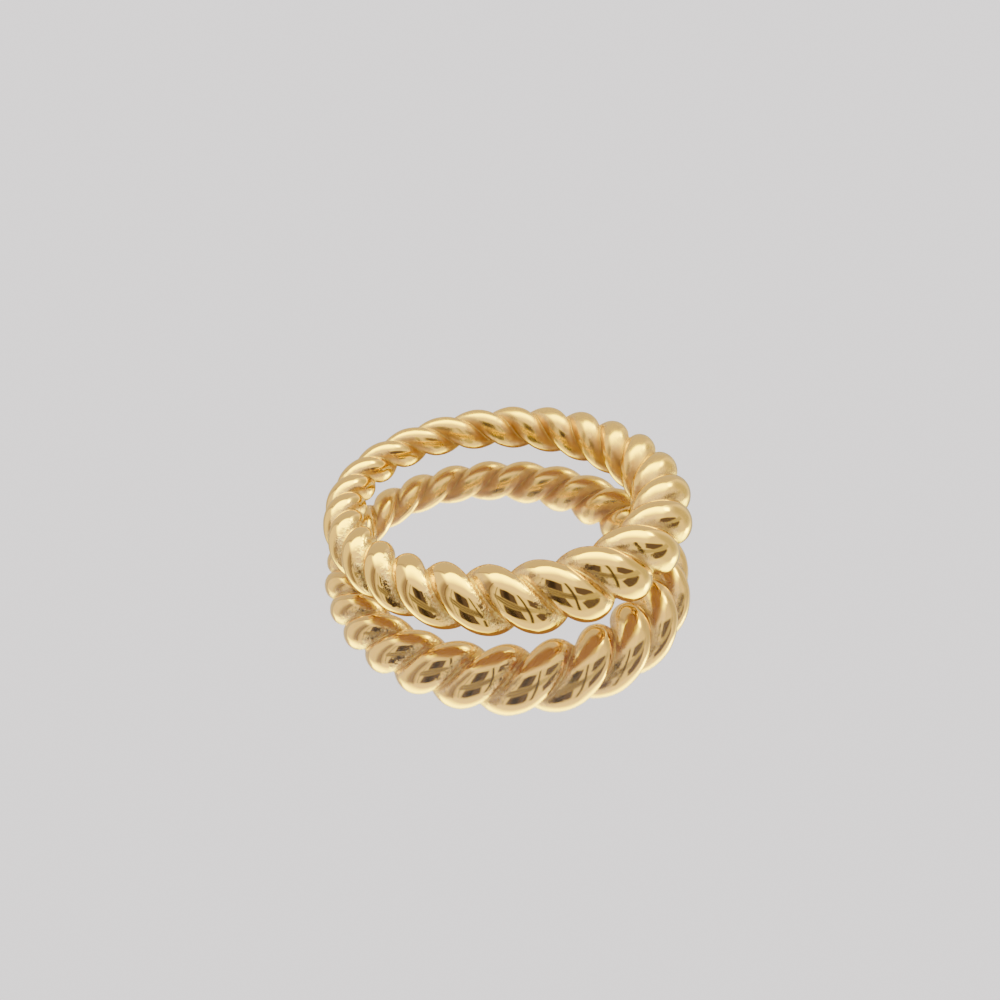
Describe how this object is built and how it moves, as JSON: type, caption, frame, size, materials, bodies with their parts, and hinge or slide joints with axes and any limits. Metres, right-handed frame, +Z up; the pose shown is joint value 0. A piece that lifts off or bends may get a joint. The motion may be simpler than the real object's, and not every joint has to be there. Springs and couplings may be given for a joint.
{
  "type": "rope twist ring",
  "caption": "Finger ring cast in one piece as a rope of two fat strands, thick at the front and tapering to a thin back, with a round opening.",
  "frame": {"origin": "middle of the ring's outline seen from above, at the height of the surface that it lies on", "axes": "+Z up, close to the line that the finger takes; -Y towards the thick front of the ring"},
  "size_m": [0.0242, 0.024, 0.005],
  "materials": {
    "gold": "high-polish yellow gold, as cast and less bright in the grooves"
  },
  "bodies": {
    "root": {"rope_band": "gold"}
  },
  "joints": []
}
